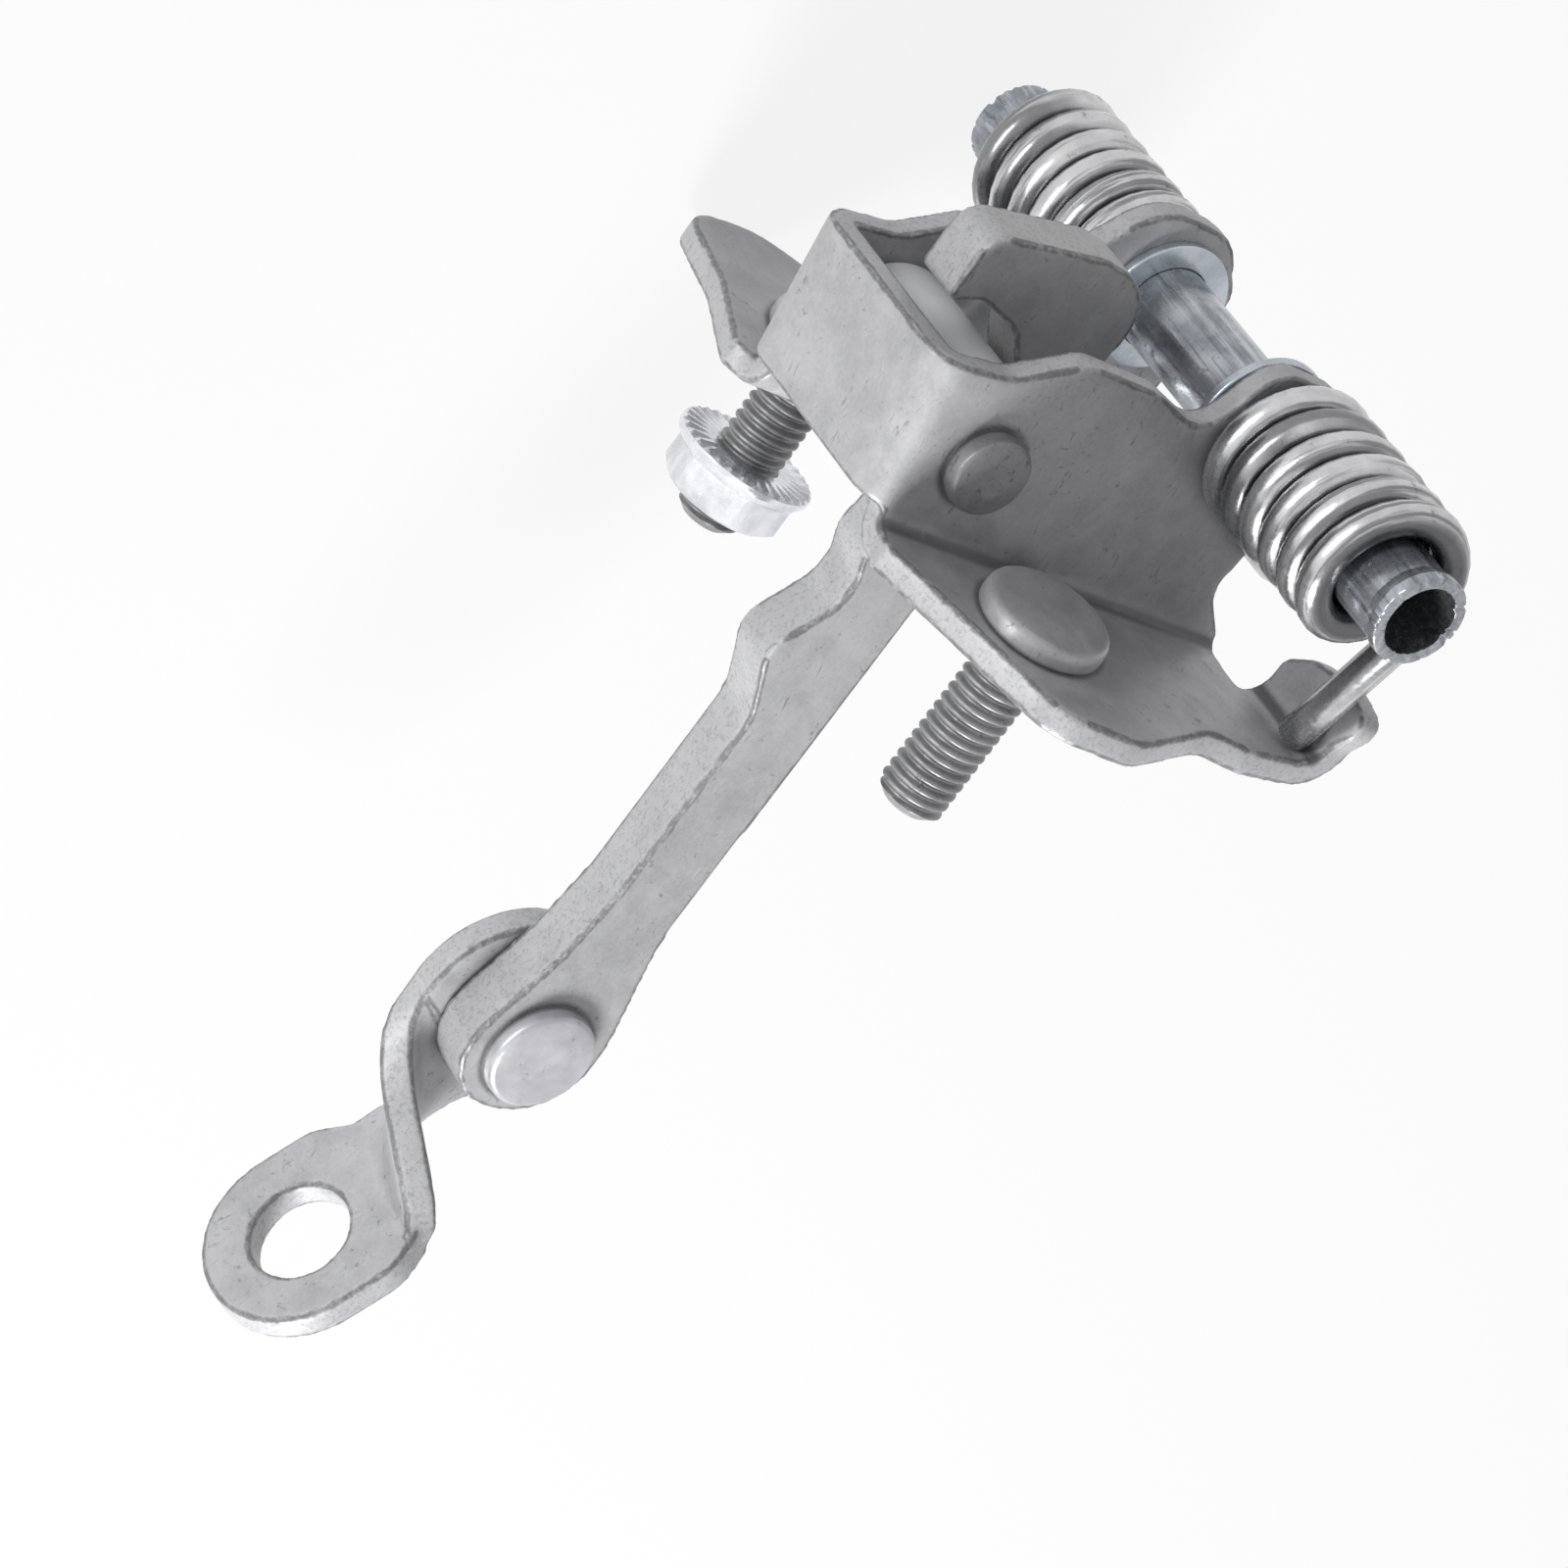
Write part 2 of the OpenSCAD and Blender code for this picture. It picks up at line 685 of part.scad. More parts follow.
// tongue seen square on, from the end of the twist round the bolt hole, corners as [x, y, radius]
tongue_outline = concat(
    [
        [twist_end + 3.2, tongue_w, 5],
        [twist_end, shoulder_w, 0],
        [twist_end, -shoulder_w, 0],
        [twist_end + 3.2, -tongue_w, 5]
    ],
    [for (i = [0:24]) [tongue_reach + tongue_w * sin(7.5 * i), -tongue_w * cos(7.5 * i), 0]]);

module hinge_bracket() {
    color([0.64, 0.64, 0.66])
        translate([eye_x, eye_y, 0])
            rotate([0, 0, -hinge_turn])
                difference() {
                    union() {
                        // round plate under the arm, cut straight where the twist begins
                        intersection() {
                            z_rod(0, 0, hinge_r, plate_low, plate_top);
                            translate([-hinge_r - past, -hinge_r - past, plate_low - past])
                                cube([hinge_r + past + twist_start, 2 * (hinge_r + past), hinge_t + 2 * past]);
                        }
                        twisted_neck();
                        // tongue with the bolt hole
                        translate([0, tongue_off + hinge_t, 0])
                            rotate([90, 0, 0])
                                linear_extrude(hinge_t)
                                    polygon(rounded(tongue_outline));
                    }
                    z_rod(0, 0, rivet_r + run_gap, plate_low - past, plate_top + past);
                    translate([tongue_reach, tongue_off - past, 0])
                        rotate([-90, 0, 0])
                            cylinder(r = bolt_r, h = hinge_t + 2 * past);
                }
}

housing_bracket();
roller();
roller_pin();
strap_arm();
spring_tube();
spacer_washers();
torsion_spring();
mounting_stud_a();
mounting_stud_b();
flange_nut();
pivot_rivet();
hinge_bracket();
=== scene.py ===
import bpy
import bmesh
import math
from mathutils import Matrix, Vector, bvhtree, kdtree, noise


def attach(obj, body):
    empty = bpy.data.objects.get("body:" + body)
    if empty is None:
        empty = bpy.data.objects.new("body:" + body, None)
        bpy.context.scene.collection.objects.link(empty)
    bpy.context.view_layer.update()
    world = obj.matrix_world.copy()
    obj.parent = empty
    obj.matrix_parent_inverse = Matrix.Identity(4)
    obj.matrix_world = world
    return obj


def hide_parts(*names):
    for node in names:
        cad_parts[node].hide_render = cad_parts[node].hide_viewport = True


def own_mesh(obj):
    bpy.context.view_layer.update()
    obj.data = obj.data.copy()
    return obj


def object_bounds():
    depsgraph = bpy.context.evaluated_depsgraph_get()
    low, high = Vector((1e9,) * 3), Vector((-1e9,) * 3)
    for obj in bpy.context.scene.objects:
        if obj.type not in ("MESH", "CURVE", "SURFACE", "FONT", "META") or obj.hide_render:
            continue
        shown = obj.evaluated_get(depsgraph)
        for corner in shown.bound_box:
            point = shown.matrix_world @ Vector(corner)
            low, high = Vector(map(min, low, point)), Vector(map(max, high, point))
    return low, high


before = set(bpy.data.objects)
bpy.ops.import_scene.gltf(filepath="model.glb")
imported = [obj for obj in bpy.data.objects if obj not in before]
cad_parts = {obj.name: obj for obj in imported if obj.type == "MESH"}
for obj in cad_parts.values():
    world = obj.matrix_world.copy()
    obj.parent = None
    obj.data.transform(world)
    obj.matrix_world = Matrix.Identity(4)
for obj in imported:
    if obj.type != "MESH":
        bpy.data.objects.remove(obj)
cad_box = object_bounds()
MM = 0.001

# Sizes shared with the construction, in mm; a pair is the x and y of an axis along Z
HALF_IN = 8.7
HALF_OUT = 11.2
SHEET = HALF_OUT - HALF_IN
TAB_Y = 28.0
TAB_BEND = 2.2
TAB_IN = 16.9
TAB_OUT = 28.0
TUBE = (-21.27, 17.27)
TUBE_R = 3.95
TUBE_END_R = 4.2
TUBE_BORE = 3.18
TUBE_HALF = 35.1
WASHER_BORE = 3.99
WASHER_R = 6.1
WASHER_T = 0.9
ROLLER = (-10.2, -7.716)
ROLLER_R = 6.25
ROLLER_BORE = 2.62
ROLLER_HALF = 8.5
PIN_R = 2.5
PIN_HEAD_R = 3.6
PIN_HEAD_H = 2.0
EYE = (57.5, 0.5)
ARM_FACE = 2.6
HINGE_FACE = 5.8
RIVET_R = 3.5
RIVET_HEAD_R = 4.95
RIVET_HEAD_H = 1.8
STUD_Z = 19.25
STUD_R = 3.0
STUD_TIP = 16.0
OVAL_LONG = 8.5
OVAL_WIDE = 5.6
OVAL_TURN = math.radians(38.5)
NUT_FACE = 9.0
NUT_HALF = 5.0
NUT_FLANGE_R = 6.5

# Sharp corners of a pressed part: least face beside them in square mm, least turn,
# and step between their points in mm
CORNER_FACE = 0.2
CORNER_TURN = math.radians(38)
CORNER_STEP = 0.2
FAR_AWAY = 9.0
RIPPLE = 0.012


# Mesh helpers

def unit(v):
    return v / v.length


def fillet(a, b, c, r, steps):
    """Points of the arc of radius r that rounds corner b between a and c."""
    u = unit(a - b)
    w = unit(c - b)
    half = math.acos(max(-1, min(1, u.dot(w)))) / 2
    if r <= 0 or half > math.pi / 2 - 0.01:
        return [b]
    d = r / math.tan(half)
    o = b + unit(u + w) * (r / math.sin(half))
    s = b + u * d - o
    e = b + w * d - o
    sweep = math.pi - 2 * half
    return [o + (s * math.sin((1 - i / steps) * sweep) + e * math.sin(i / steps * sweep)) / math.sin(sweep)
            for i in range(steps + 1)]


def soft(corners, steps=5, closed=True):
    """Profile whose corners are (r, h, rounding)."""
    out = []
    n = len(corners)
    for i in range(n):
        b = Vector((corners[i][0], corners[i][1], 0))
        if not closed and i in (0, n - 1):
            out.append(b)
            continue
        a = Vector((corners[i - 1][0], corners[i - 1][1], 0))
        c = Vector((corners[(i + 1) % n][0], corners[(i + 1) % n][1], 0))
        out.extend(fillet(a, b, c, corners[i][2], steps))
    return [(p.x, p.y) for p in out]


def grid_faces(rows, cols, wrap_rows=False):
    faces = []
    for i in range(rows if wrap_rows else rows - 1):
        k = (i + 1) % rows
        for j in range(cols):
            m = (j + 1) % cols
            faces.append((i * cols + j, i * cols + m, k * cols + m, k * cols + j))
    return faces


def lathe(profile, centre, n=96, closed=True):
    """Turned form about a Z axis, profile points (r, z)."""
    verts = []
    for r, h in profile:
        for j in range(n):
            a = 2 * math.pi * j / n
            verts.append((centre[0] + r * math.cos(a), centre[1] + r * math.sin(a), h))
    return verts, grid_faces(len(profile), n, closed)


def join(*parts):
    verts = []
    faces = []
    for v, f in parts:
        base = len(verts)
        verts.extend(v)
        faces.extend(tuple(i + base for i in face) for face in f)
    return verts, faces


def settle(obj, body, material, nodes, sharp):
    """Gives a finished mesh its shading, material, body and the nodes it stands for."""
    mesh = obj.data
    mesh.polygons.foreach_set("use_smooth", [True] * len(mesh.polygons))
    mesh.set_sharp_from_angle(angle=math.radians(sharp))
    mesh.materials.clear()
    mesh.materials.append(material)
    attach(obj, body)
    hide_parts(*nodes)
    return obj


def piece(name, form, body, material, nodes=(), sharp=50):
    """A mesh from points in millimetres."""
    verts, faces = form
    mesh = bpy.data.meshes.new(name)
    mesh.from_pydata([(x * MM, y * MM, z * MM) for x, y, z in verts], [], faces)
    bm = bmesh.new()
    bm.from_mesh(mesh)
    bmesh.ops.remove_doubles(bm, verts=bm.verts, dist=1e-6)
    bmesh.ops.dissolve_degenerate(bm, edges=bm.edges, dist=1e-7)
    bmesh.ops.recalc_face_normals(bm, faces=bm.faces)
    bm.to_mesh(mesh)
    bm.free()
    obj = bpy.data.objects.new(name, mesh)
    bpy.context.scene.collection.objects.link(obj)
    return settle(obj, body, material, nodes, sharp)


def add_values(mesh, name, values):
    layer = mesh.attributes.new(name, "FLOAT", "POINT")
    layer.data.foreach_set("value", values)


def corner_points(bm):
    """Points along the sharp outer corners of a solid."""
    points = []
    for e in bm.edges:
        if len(e.link_faces) != 2 or min(f.calc_area() for f in e.link_faces) < CORNER_FACE * MM * MM:
            continue
        if e.calc_face_angle_signed(0.0) > CORNER_TURN:
            a, b = e.verts[0].co, e.verts[1].co
            k = max(1, int((b - a).length / (CORNER_STEP * MM)))
            points.extend(a.lerp(b, i / k) for i in range(k + 1))
    return points


def evened(obj, voxel):
    """The object's solid as a mesh of even faces."""
    mod = obj.modifiers.new("even", "REMESH")
    mod.mode = "VOXEL"
    mod.voxel_size = voxel * MM
    mod.use_smooth_shade = True
    bpy.context.view_layer.update()
    mesh = bpy.data.meshes.new_from_object(obj.evaluated_get(bpy.context.evaluated_depsgraph_get()))
    obj.modifiers.clear()
    return mesh


def worn(mesh, rounds):
    """Rounds the corners in so many rounds of smoothing and makes the faces slightly uneven."""
    bm = bmesh.new()
    bm.from_mesh(mesh)
    for i in range(rounds):
        bmesh.ops.smooth_vert(bm, verts=bm.verts, factor=0.5,
                              use_axis_x=True, use_axis_y=True, use_axis_z=True)
    bm.normal_update()
    for v in bm.verts:
        p = v.co / MM
        v.co += v.normal * (RIPPLE * MM * (noise.noise(p * 0.35) + 0.6 * noise.noise(p * 1.1)))
    bm.to_mesh(mesh)
    bm.free()


def cut_values(mesh, thick, flat):
    """1 where the metal behind is deeper than thick; when flat, also on all that does not face along Z."""
    inset = 0.2 * MM
    solid = bvhtree.BVHTree.FromPolygons([v.co for v in mesh.vertices],
                                         [tuple(f.vertices) for f in mesh.polygons])
    values = []
    for v in mesh.vertices:
        hit = solid.ray_cast(v.co - v.normal * inset, -v.normal, 50 * MM)
        deep = hit[0] is not None and hit[3] > thick * MM
        values.append(1.0 if deep or flat and abs(v.normal.z) < 0.6 else 0.0)
    return values


def crease_shade_values(mesh, joints):
    """Painted shade: 1 in the corners that joints, functions of a point in mm, give the distance to."""
    values = []
    for v in mesh.vertices:
        p = v.co / MM
        away = min([f(p) for f in joints] + [FAR_AWAY])
        values.append(1.0 - min(1.0, max(0.0, (away - 0.05) / 0.42)))
    return values


def edge_values(mesh, corners):
    """Distance in mm to the nearest of the corner points, up to 6."""
    tree = kdtree.KDTree(len(corners))
    for i, p in enumerate(corners):
        tree.insert(p, i)
    tree.balance()
    return [min(tree.find(v.co)[2] / MM, 6.0) for v in mesh.vertices]


def pressed(name, node, body, material, voxel, rounds, thick, joints=(), flat=False):
    """The solid of a pressed part with its sheared edges rounded, and the values that its material reads."""
    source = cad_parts[node].data.copy()
    bm = bmesh.new()
    bm.from_mesh(source)
    bmesh.ops.remove_doubles(bm, verts=bm.verts, dist=1e-6)
    bmesh.ops.recalc_face_normals(bm, faces=bm.faces)
    corners = corner_points(bm)
    bm.to_mesh(source)
    bm.free()
    obj = bpy.data.objects.new(name, source)
    bpy.context.scene.collection.objects.link(obj)
    mesh = evened(obj, voxel)
    obj.data = mesh
    mesh.name = name
    worn(mesh, rounds)
    add_values(mesh, "cut", cut_values(mesh, thick, flat))
    # values for the painted shade in the creases and around the heads
    add_values(mesh, "crease_shade", crease_shade_values(mesh, joints))
    add_values(mesh, "edge", edge_values(mesh, corners))
    return settle(obj, body, material, [node], 60)


# Materials

def tint(color, k):
    """A colour made darker or lighter by the factor k."""
    return tuple(min(1, c * k) for c in color)


# grey of the painted shade inside the tube's bore
BORE_SHADE_GREY = (0.24, 0.245, 0.26)


class Graph:
    """Small helper that lays out one material's nodes."""

    def __init__(self, name):
        self.material = bpy.data.materials.new(name)
        self.material.use_nodes = True
        self.tree = self.material.node_tree
        self.tree.nodes.clear()
        self.coords = self.node("ShaderNodeTexCoord").outputs["Object"]

    def node(self, kind, **props):
        n = self.tree.nodes.new(kind)
        for key, value in props.items():
            setattr(n, key, value)
        return n

    def put(self, socket, value):
        if isinstance(value, bpy.types.NodeSocket):
            self.tree.links.new(value, socket)
        elif isinstance(value, (tuple, list)) and len(value) == 3 and socket.type == "RGBA":
            socket.default_value = (*value, 1)
        else:
            socket.default_value = value

    def stretch(self, scale, turn=(0, 0, 0)):
        n = self.node("ShaderNodeMapping")
        self.put(n.inputs["Vector"], self.coords)
        n.inputs["Scale"].default_value = scale
        n.inputs["Rotation"].default_value = turn
        return n.outputs["Vector"]

    def noise(self, scale, detail=4.0, rough=0.55, warp=0.0, vector=None):
        n = self.node("ShaderNodeTexNoise")
        self.put(n.inputs["Vector"], vector or self.coords)
        n.inputs["Scale"].default_value = scale
        n.inputs["Detail"].default_value = detail
        n.inputs["Roughness"].default_value = rough
        n.inputs["Distortion"].default_value = warp
        return n.outputs["Fac"]

    def math(self, op, a, b=0.0, c=0.0):
        n = self.node("ShaderNodeMath", operation=op)
        self.put(n.inputs[0], a)
        self.put(n.inputs[1], b)
        self.put(n.inputs[2], c)
        return n.outputs[0]

    def span(self, value, low, high, to_low=0.0, to_high=1.0):
        n = self.node("ShaderNodeMapRange", interpolation_type="SMOOTHSTEP")
        self.put(n.inputs["Value"], value)
        self.put(n.inputs["From Min"], low)
        self.put(n.inputs["From Max"], high)
        self.put(n.inputs["To Min"], to_low)
        self.put(n.inputs["To Max"], to_high)
        return n.outputs["Result"]

    def mix(self, fac, a, b):
        n = self.node("ShaderNodeMix", data_type="RGBA")
        self.put(n.inputs[0], fac)
        self.put(n.inputs[6], a)
        self.put(n.inputs[7], b)
        return n.outputs[2]

    def lane(self, along, around):
        """Coordinates made of two values of the mesh."""
        n = self.node("ShaderNodeCombineXYZ")
        self.put(n.inputs[0], self.value(along))
        self.put(n.inputs[1], self.value(around))
        return n.outputs[0]

    def value(self, name):
        n = self.node("ShaderNodeAttribute", attribute_name=name)
        return n.outputs["Fac"]

    def finish(self, color, rough, metallic, height=None, depth=0.02, strength=1.0, **sockets):
        shader = self.node("ShaderNodeBsdfPrincipled")
        self.put(shader.inputs["Base Color"], color)
        self.put(shader.inputs["Roughness"], rough)
        shader.inputs["Metallic"].default_value = metallic
        for key, value in sockets.items():
            shader.inputs[key.replace("_", " ")].default_value = value
        if height is not None:
            bump = self.node("ShaderNodeBump")
            bump.inputs["Strength"].default_value = strength
            bump.inputs["Distance"].default_value = depth * MM
            self.put(bump.inputs["Height"], height)
            self.put(shader.inputs["Normal"], bump.outputs["Normal"])
        out = self.node("ShaderNodeOutputMaterial")
        self.put(out.inputs["Surface"], shader.outputs[0])
        return self.material


def hairlines(g, patch):
    """Fine scratches in two directions, only in the lighter patches."""
    lines = []
    for turn, size in (((0.4, 0.9, 0.2), 330), ((1.3, 0.2, 0.8), 470)):
        n = g.noise(size, 2, 0.5, 0.6, g.stretch((0.16, 1.0, 1.0), turn))
        lines.append(g.span(g.math("ABSOLUTE", g.math("SUBTRACT", n, 0.5)), 0.004, 0.012, 1.0, 0.0))
    return g.math("MULTIPLY", g.math("MAXIMUM", *lines), g.span(patch, 0.54, 0.66))


def edge_wear_and_crease_shade(g, color, gloss, relief, light, dark):
    """Speckled sheared faces, rubbed corners with a dark line beside them, and painted shade in the creases.
    """
    edge = g.value("edge")
    cut = g.span(g.value("cut"), 0.3, 0.7)
    wander = g.noise(700, 4, 0.6)
    chips = g.noise(2300, 6, 0.8)
    bright = g.mix(g.span(chips, 0.38, 0.50), tint(dark, 0.62), tint(light, 1.2))
    color = g.mix(g.math("MULTIPLY", cut, 0.4), color, bright)
    rub = g.math("MULTIPLY", g.span(edge, 0.02, 0.30, 1.0, 0.0), g.span(wander, 0.46, 0.62))
    color = g.mix(g.math("MULTIPLY", rub, 0.45), color, tint(light, 1.45))
    far = g.math("ADD", edge, g.math("MULTIPLY", wander, 0.6))
    line = g.math("MULTIPLY", g.span(far, 0.34, 0.50), g.span(far, 0.60, 0.86, 1.0, 0.0))
    broken = g.math("MULTIPLY", line, g.span(g.noise(950, 6, 0.75), 0.36, 0.54, 0.45, 1.0))
    color = g.mix(g.math("MULTIPLY", broken, 0.70), color, tint(dark, 0.22))
    # painted shade: the bends and the rims of heads are darkened where shade falls between the parts
    seam_shade = g.math("MULTIPLY", g.value("crease_shade"), g.span(g.noise(600, 5, 0.7), 0.12, 0.42, 0.35, 1.0))
    color = g.mix(g.math("MULTIPLY", seam_shade, 0.8), color, tint(dark, 0.2))
    gloss = g.math("SUBTRACT", gloss, g.math("MULTIPLY", rub, 0.08))
    relief = g.math("ADD", relief, g.math("MULTIPLY", g.math("MULTIPLY", cut, chips), 1.2))
    return color, gloss, relief


def tumbled_steel(name, light, dark, rough, specks=0.60, edges=True, metal=0.4):
    """Tumbled zinc-grey steel: cloudy tone, fine grain, scuffs, dark pits and hairlines."""
    g = Graph(name)
    cloud = g.noise(140, 5, 0.6, 0.4)
    patch = g.noise(420, 6, 0.65)
    grain = g.noise(2600, 3, 0.6)
    pits = g.noise(1150, 9, 0.72, 0.3)
    scuff = g.noise(900, 6, 0.7, 0.0, g.stretch((0.25, 1.0, 1.6), (0.3, 0.7, 0.5)))
    tone = g.math("ADD", g.math("MULTIPLY", cloud, 0.55), g.math("MULTIPLY", patch, 0.45))
    color = g.mix(g.span(tone, 0.36, 0.66), dark, light)
    color = g.mix(g.span(grain, 0.3, 0.72, 0.0, 0.2), color, tint(light, 1.3))
    color = g.mix(g.span(scuff, 0.60, 0.74, 0.0, 0.3), color, tint(light, 1.25))
    speck = g.span(pits, specks, specks + 0.07)
    color = g.mix(g.math("MULTIPLY", speck, 0.5), color, tint(dark, 0.35))
    hair = hairlines(g, patch)
    color = g.mix(g.math("MULTIPLY", hair, 0.5), color, tint(dark, 0.35))
    relief = g.math("SUBTRACT", g.math("MULTIPLY", grain, 0.6), g.math("MAXIMUM", speck, hair))
    gloss = g.math("ADD", g.span(patch, 0.3, 0.7, rough - 0.06, rough + 0.08),
                   g.math("MULTIPLY", speck, 0.12))
    if edges:
        color, gloss, relief = edge_wear_and_crease_shade(g, color, gloss, relief, light, dark)
    return g.finish(color, gloss, metal, relief, 0.03, 0.6)


def polished_wire(name):
    """Drawn wire with painted dark reflection streaks along it and painted shade between the turns."""
    g = Graph(name)
    patch = g.noise(260, 4, 0.6)
    draw = g.noise(1900, 5, 0.65)
    color = g.mix(g.span(patch, 0.3, 0.7), (0.54, 0.54, 0.55), (0.72, 0.72, 0.73))
    dirt = g.span(g.noise(760, 7, 0.7), 0.60, 0.68)
    color = g.mix(g.math("MULTIPLY", dirt, 0.45), color, (0.12, 0.12, 0.125))
    # painted shade: the wire is darkened in the gaps between turns and on their flanks, where shade falls
    deep = g.value("deep")
    color = g.mix(g.math("MULTIPLY", deep, 0.85), color, (0.04, 0.04, 0.044))
    # painted reflection: dark streaks along the polished wire stand in for the dark reflections on it
    reflection_streaks = g.noise(1.0, 3, 0.6, 0.0, g.lane("along", "around"))
    color = g.mix(g.span(reflection_streaks, 0.46, 0.58, 0.0, 0.7), color, (0.10, 0.10, 0.105))
    rough = g.math("ADD", g.span(draw, 0.3, 0.7, 0.20, 0.32), g.math("MULTIPLY", dirt, 0.15))
    return g.finish(color, rough, 0.9, draw, 0.01, 0.35)


def plated(name, light, dark, rough, inner=None, blotch=0.6, metal=0.75, drawn=False):
    """Bright zinc plating with faint blotches, streaked along Z when drawn, and darkened with painted shade
    where inner is 1.
    """
    g = Graph(name)
    cloud = g.noise(240, 5, 0.6, 0.3)
    fine = g.noise(2100, 4, 0.65)
    color = g.mix(g.span(cloud, 0.34, 0.66), dark, light)
    spots = g.span(g.noise(900, 8, 0.7), blotch, blotch + 0.07)
    color = g.mix(g.math("MULTIPLY", spots, 0.5), color, tint(dark, 0.4))
    gloss = g.math("ADD", g.span(fine, 0.3, 0.7, rough - 0.05, rough + 0.07),
                   g.math("MULTIPLY", spots, 0.12))
    if drawn:
        streak = g.noise(1100, 5, 0.65, 0.0, g.stretch((1, 1, 0.05)))
        color = g.mix(g.span(streak, 0.50, 0.66, 0.0, 0.7), color, tint(dark, 0.3))
        color = g.mix(g.span(streak, 0.46, 0.34, 0.0, 0.5), color, tint(light, 1.5))
    # painted shade: the bore and, partly, the cropped end faces are darkened where shade falls inside the
    # tube
    if inner:
        bore_shade_tone = g.mix(g.span(fine, 0.3, 0.7), tint(BORE_SHADE_GREY, 0.7), tint(BORE_SHADE_GREY, 1.4))
        color = g.mix(g.value(inner), color, bore_shade_tone)
    return g.finish(color, gloss, metal, g.math("SUBTRACT", g.math("MULTIPLY", fine, 0.5), spots), 0.02, 0.45)


def nylon(name):
    """Satin moulded nylon, faintly rubbed around."""
    g = Graph(name)
    cloud = g.noise(180, 4, 0.6)
    fine = g.noise(2400, 3, 0.6)
    color = g.mix(g.span(cloud, 0.3, 0.7), (0.93, 0.93, 0.925), (0.98, 0.98, 0.975))
    rub = g.span(g.noise(500, 6, 0.7, 0.0, g.stretch((1, 1, 0.2))), 0.58, 0.72)
    color = g.mix(g.math("MULTIPLY", rub, 0.12), color, (0.6, 0.6, 0.6))
    return g.finish(color, g.span(fine, 0.3, 0.7, 0.34, 0.48), 0.0, fine, 0.01, 0.3,
                    Subsurface_Weight=0.08, IOR=1.53, Coat_Weight=0.5, Coat_Roughness=0.35)


HOUSING_MAT = tumbled_steel("housing_steel_look", (0.50, 0.50, 0.515), (0.375, 0.375, 0.39), 0.44,
                            metal=0.24)
ARM_MAT = tumbled_steel("arm_steel_look", (0.49, 0.49, 0.50), (0.375, 0.375, 0.385), 0.46, 0.585,
                        metal=0.3)
HINGE_MAT = tumbled_steel("hinge_steel_look", (0.52, 0.52, 0.53), (0.40, 0.40, 0.41), 0.50, 0.585,
                          metal=0.3)
# the roller pin's steel is darker: partly its own finish, partly painted shadow from the flange over its head
PIN_MAT = tumbled_steel("pin_steel_look", (0.30, 0.30, 0.31), (0.20, 0.20, 0.21), 0.42, 0.58,
                        edges=False)
HEAD_MAT = tumbled_steel("stud_head_look", (0.54, 0.54, 0.55), (0.42, 0.42, 0.43), 0.44, 0.6,
                         edges=False)
THREAD_MAT = tumbled_steel("stud_thread_look", (0.36, 0.36, 0.365), (0.22, 0.22, 0.225), 0.42, 0.6,
                           edges=False, metal=0.6)
WIRE_MAT = polished_wire("spring_wire_look")
TUBE_MAT = plated("tube_steel_look", (0.47, 0.49, 0.525), (0.26, 0.28, 0.31), 0.22, "inner", 0.58,
                  drawn=True)
WASHER_MAT = plated("washer_zinc_look", (0.56, 0.60, 0.64), (0.42, 0.46, 0.51), 0.30)
NUT_MAT = plated("nut_zinc_look", (0.90, 0.91, 0.94), (0.64, 0.65, 0.69), 0.22, None, 0.63, 0.85)
RIVET_MAT = plated("rivet_zinc_look", (0.62, 0.62, 0.645), (0.47, 0.47, 0.50), 0.34, None, 0.6, 0.5)
NYLON_MAT = nylon("white_nylon_look")


# Pressed pieces: functions that give the distance of a point in mm to the creases around them, which get
# painted shade

def bend_line(p):
    """The inner corner between a side plate and its flange."""
    inset = 0.35
    return math.hypot(p.x + SHEET + inset, abs(p.z) - HALF_OUT - inset) - 0.3


def pin_ring(p):
    """The rim of a pin head on a side plate."""
    rim = math.hypot(p.x - ROLLER[0], p.y - ROLLER[1]) - PIN_HEAD_R - 0.15
    return max(abs(rim), abs(abs(p.z) - HALF_OUT))


def head_ring(p):
    """The rim of an oval stud head on the back of a flange."""
    c, s = math.cos(-OVAL_TURN), math.sin(-OVAL_TURN)
    z = p.z - math.copysign(STUD_Z, p.z)
    u, v = p.y * c + z * s, z * c - p.y * s
    return max(abs(math.hypot(u / OVAL_LONG, v / OVAL_WIDE) - 1.015) * 6.5, abs(p.x + SHEET))


def tab_fold(p):
    """The fold between a flange and its rear tab."""
    inset = TAB_BEND * (1 - math.cos(math.radians(45)))
    if not TAB_IN < abs(p.z) < TAB_OUT:
        return FAR_AWAY
    return math.hypot(p.x + SHEET + inset, p.y - TAB_Y + inset) - 0.35


def rivet_ring(p):
    """The rim of the rivet's head on the arm."""
    rim = math.hypot(p.x - EYE[0], p.y - EYE[1]) - RIVET_HEAD_R - 0.15
    return max(abs(rim), abs(p.z - ARM_FACE))


pressed("housing_pressing", "housing_bracket", "housing", HOUSING_MAT,
        voxel=0.3, rounds=5, thick=3.4, joints=[bend_line, pin_ring, head_ring, tab_fold])
pressed("strap_arm_forging", "strap_arm", "arm", ARM_MAT,
        voxel=0.26, rounds=5, thick=5.9, joints=[rivet_ring], flat=True)
pressed("hinge_pressing", "hinge_bracket", "hinge", HINGE_MAT,
        voxel=0.26, rounds=9, thick=4.2)

# Turned pieces

def turned_ring(bore, r, low, high, bore_edge, rim_edge, steps, centre):
    """A ring between two heights with rounded edges."""
    corners = [(bore, low, bore_edge), (r, low, rim_edge), (r, high, rim_edge), (bore, high, bore_edge)]
    return lathe(soft(corners, steps), centre)


